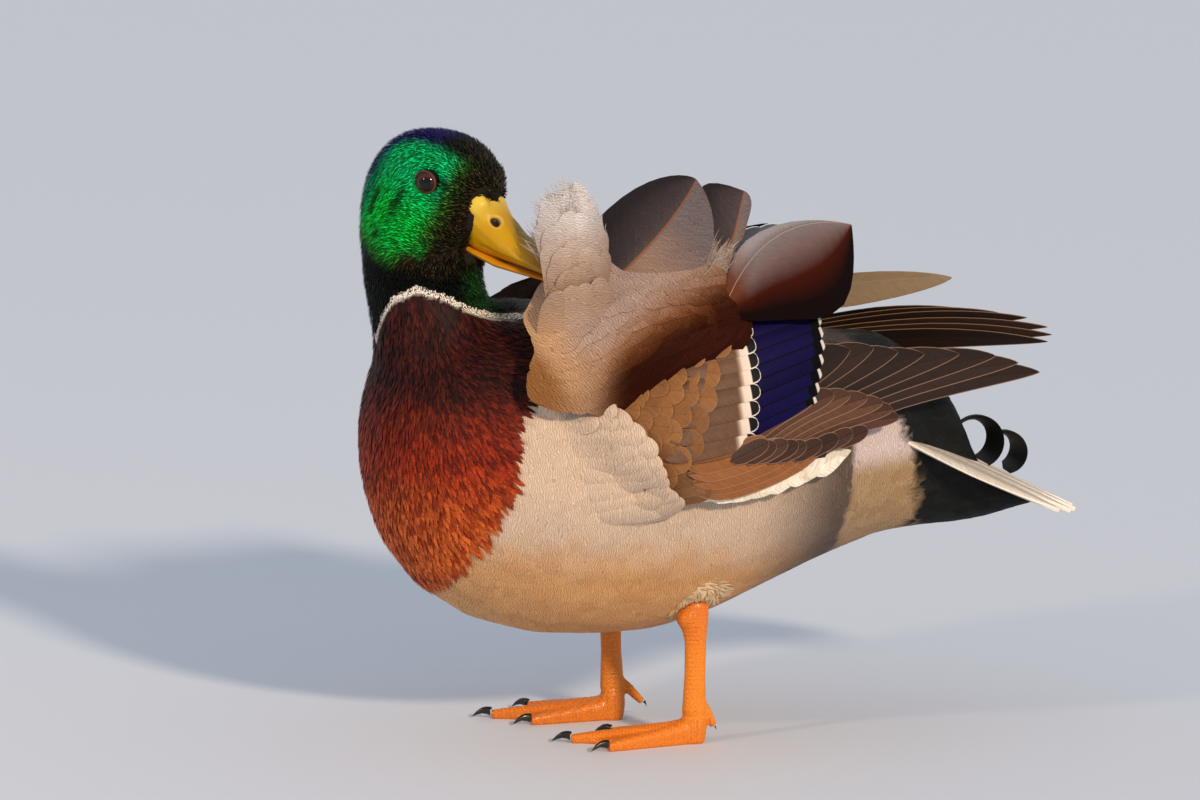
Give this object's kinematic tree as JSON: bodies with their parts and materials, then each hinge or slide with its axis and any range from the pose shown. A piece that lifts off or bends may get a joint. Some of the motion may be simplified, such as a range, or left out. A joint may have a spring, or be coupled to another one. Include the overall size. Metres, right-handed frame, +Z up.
{
  "type": "mallard duck",
  "caption": "Standing mallard drake, life size, with its head turned over the left shoulder and the bill in the raised shoulder feathers.",
  "frame": {"origin": "centre of the bird's bounding box, on the floor that its soles stand on", "axes": "+X towards the tail, so the breast faces -X; +Y towards the bird's right side; +Z up"},
  "size_m": [0.3431, 0.1776, 0.2842],
  "materials": {
    "head_feathers": "close silky feathers with a bottle-green gloss",
    "neck_feathers": "soft chestnut-brown feathers under a narrow white ring",
    "body_feathers": "warm grey feathers with fine wavy dark lines",
    "wing_feathers": "matt brown vanes with pale edges",
    "speculum_feathers": "violet-blue vanes with a satin gloss, between black and white bars",
    "tail_feathers": "off-white vanes, grey-brown inside",
    "curl_feathers": "black vanes with a faint green gloss",
    "bill": "smooth leathery horn, olive yellow, slightly satin",
    "leg_skin": "small orange scales, slightly moist",
    "claw": "dark horn, worn smooth",
    "eye": "wet and very glossy, dark brown"
  },
  "bodies": {
    "root": {"bill_lower": "bill", "bill_upper": "bill", "claw_hind_left": "claw", "claw_hind_right": "claw", "claw_inner_left": "claw", "claw_inner_right": "claw", "claw_middle_left": "claw", "claw_middle_right": "claw", "claw_outer_left": "claw", "claw_outer_right": "claw", "eye_left": "eye", "eye_right": "eye", "foot_left": "leg_skin", "foot_right": "leg_skin", "head": "head_feathers", "hind_toe_left": "leg_skin", "hind_toe_right": "leg_skin", "neck": "neck_feathers", "scapular_plume_left": "body_feathers", "scapular_plume_rear_left": "body_feathers", "scapular_tuft_left": "body_feathers", "scapulars_left": "body_feathers", "scapulars_right": "body_feathers", "shank_left": "body_feathers", "shank_right": "body_feathers", "tail": "tail_feathers", "tail_curl_front": "curl_feathers", "tail_curl_rear": "curl_feathers", "tarsus_left": "leg_skin", "tarsus_right": "leg_skin", "trunk": "body_feathers", "wing_alula_left": "wing_feathers", "wing_alula_right": "wing_feathers", "wing_coverts_left": "wing_feathers", "wing_coverts_right": "wing_feathers", "wing_primaries_left": "wing_feathers", "wing_primaries_right": "wing_feathers", "wing_secondaries_left": "speculum_feathers", "wing_secondaries_right": "speculum_feathers", "wing_tertials_left": "wing_feathers", "wing_tertials_right": "wing_feathers"}
  },
  "joints": []
}
